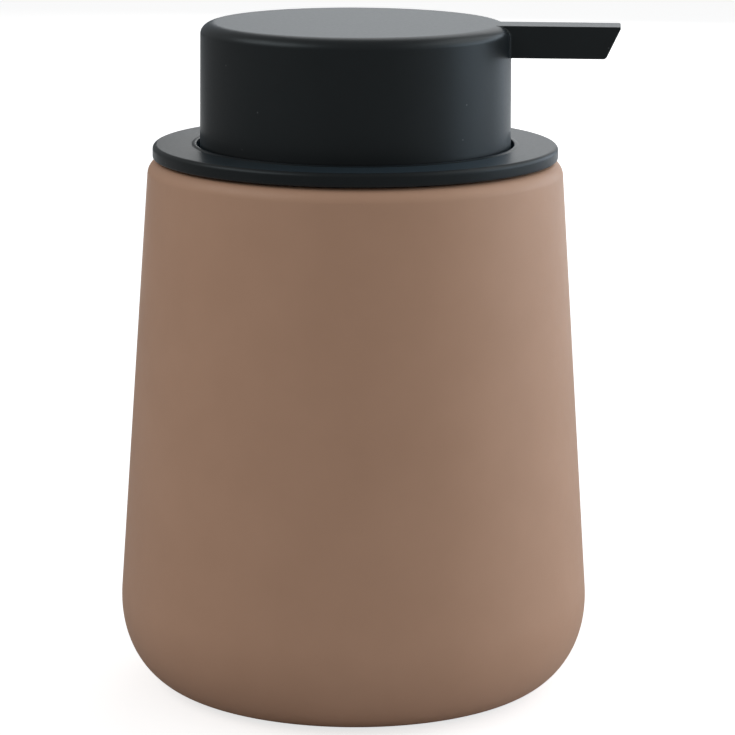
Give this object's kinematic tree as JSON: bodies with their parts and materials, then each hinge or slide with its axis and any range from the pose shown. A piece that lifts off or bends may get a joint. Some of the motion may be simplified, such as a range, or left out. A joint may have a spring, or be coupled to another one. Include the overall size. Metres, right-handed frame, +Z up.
{
  "type": "soap pump dispenser",
  "caption": "Table-top soap dispenser: tapered matte ceramic bottle, push-in lid with a flat collar, and a wide press-down head with a straight flat nozzle.",
  "frame": {"origin": "centre of the foot pad's underside, on the surface the dispenser stands on, on the bottle's axis", "axes": "+Z up along the bottle's axis, +X along the nozzle at rest, +Y to the left of the nozzle"},
  "size_m": [0.0894, 0.0848, 0.1203],
  "materials": {
    "ceramic": "matte",
    "black_plastic": "satin",
    "silicone": "matte",
    "natural_plastic": "satin",
    "white_plastic": "satin",
    "steel": "polished"
  },
  "bodies": {
    "bottle": {"bottle": "ceramic", "foot_pad": "silicone"},
    "lid": {"collar": "black_plastic", "mouth_seal": "silicone", "pump_cylinder": "natural_plastic", "cylinder_gasket": "silicone", "lock_nut": "white_plastic", "dip_tube": "natural_plastic", "stem_guide": "white_plastic", "stem_wiper": "silicone", "ball_cage": "white_plastic", "spring": "steel"},
    "inlet_ball": {"inlet_ball": "steel"},
    "piston": {"piston": "white_plastic", "piston_ring": "silicone"},
    "head": {"head_cap": "black_plastic", "stem_socket": "white_plastic", "stem": "natural_plastic", "valve_seat": "white_plastic"},
    "outlet_ball": {"outlet_ball": "steel"}
  },
  "joints": [
    {"name": "lid_lift", "type": "slide", "parent": "bottle", "child": "lid", "axis": [0, 0, 1], "range_m": [0, 0.1]},
    {"name": "inlet_ball_lift", "type": "slide", "parent": "lid", "child": "inlet_ball", "axis": [0, 0, 1], "range_m": [0, 0.0012]},
    {"name": "head_press", "type": "slide", "parent": "lid", "child": "piston", "axis": [0, 0, -1], "range_m": [0, 0.01], "stiffness_N_per_m": 900, "springref_m": -0.008, "deforming": ["spring"]},
    {"name": "nozzle_swivel", "type": "hinge", "parent": "piston", "child": "head", "pos_m": [0, 0, 0.1], "axis": [0, 0, 1], "continuous": true},
    {"name": "outlet_ball_lift", "type": "slide", "parent": "head", "child": "outlet_ball", "axis": [0, 0, 1], "range_m": [0, 0.0012]}
  ]
}
